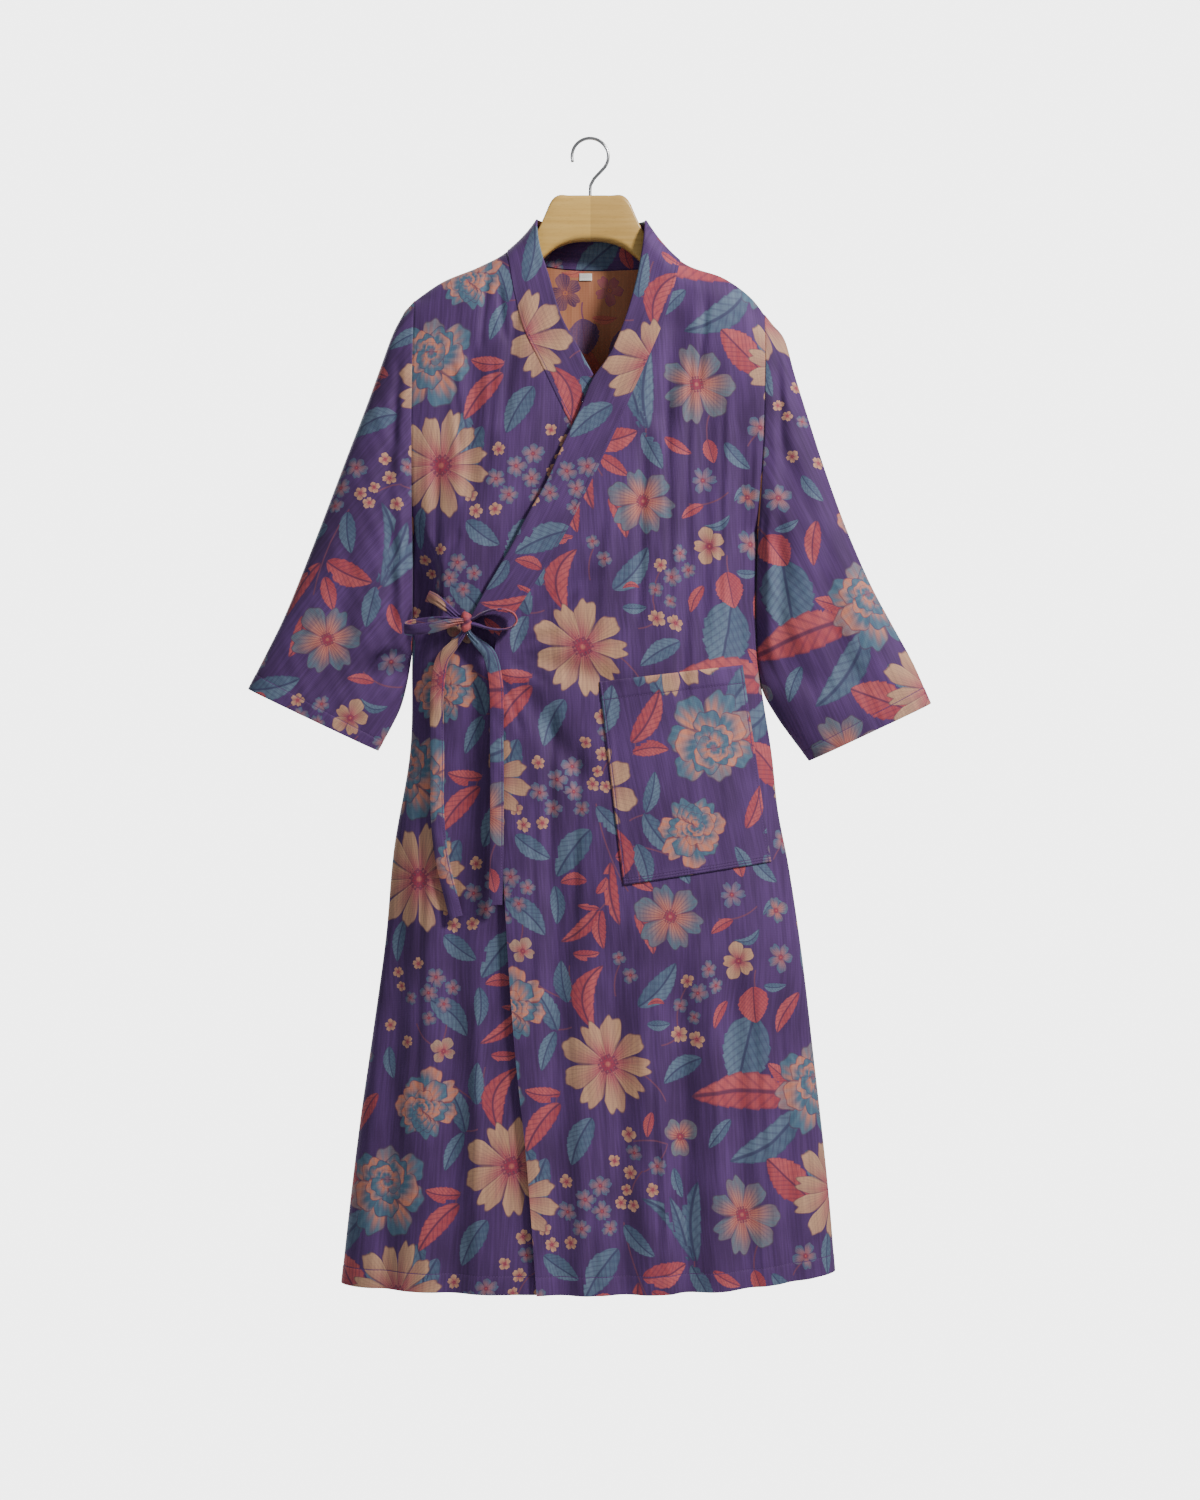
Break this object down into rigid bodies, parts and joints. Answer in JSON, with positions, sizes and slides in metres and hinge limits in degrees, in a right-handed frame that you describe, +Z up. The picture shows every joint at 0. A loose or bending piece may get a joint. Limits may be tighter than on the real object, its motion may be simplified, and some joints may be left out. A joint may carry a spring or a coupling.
{
  "type": "kimono robe on hanger",
  "caption": "Calf-length cross-over kimono robe in flower-printed gauze, tied in a bow at its side, hanging on a wooden hanger.",
  "frame": {"origin": "the hook's seat: the inside top of the hanger's hook, where it hangs on a rail", "axes": "+Z up along the hanging robe, -Y out of the robe's front, +X towards the wearer's left sleeve"},
  "size_m": [0.751, 0.1287, 1.2611],
  "materials": {
    "printed_gauze": "matt double gauze with a large flower pattern",
    "label_tape": "woven tape",
    "hanger_wood": "satin lacquer",
    "hook_steel": "polished"
  },
  "bodies": {
    "root": {"back": "printed_gauze", "left_front": "printed_gauze", "right_front": "printed_gauze", "collar_band": "printed_gauze", "left_sleeve": "printed_gauze", "right_sleeve": "printed_gauze", "pocket": "printed_gauze", "tie_strap": "printed_gauze", "tie_loop_left": "printed_gauze", "tie_loop_right": "printed_gauze", "tie_knot": "printed_gauze", "tie_tail_left": "printed_gauze", "tie_tail_right": "printed_gauze", "neck_label": "label_tape", "hanger": "hanger_wood", "hook": "hook_steel"}
  },
  "joints": []
}
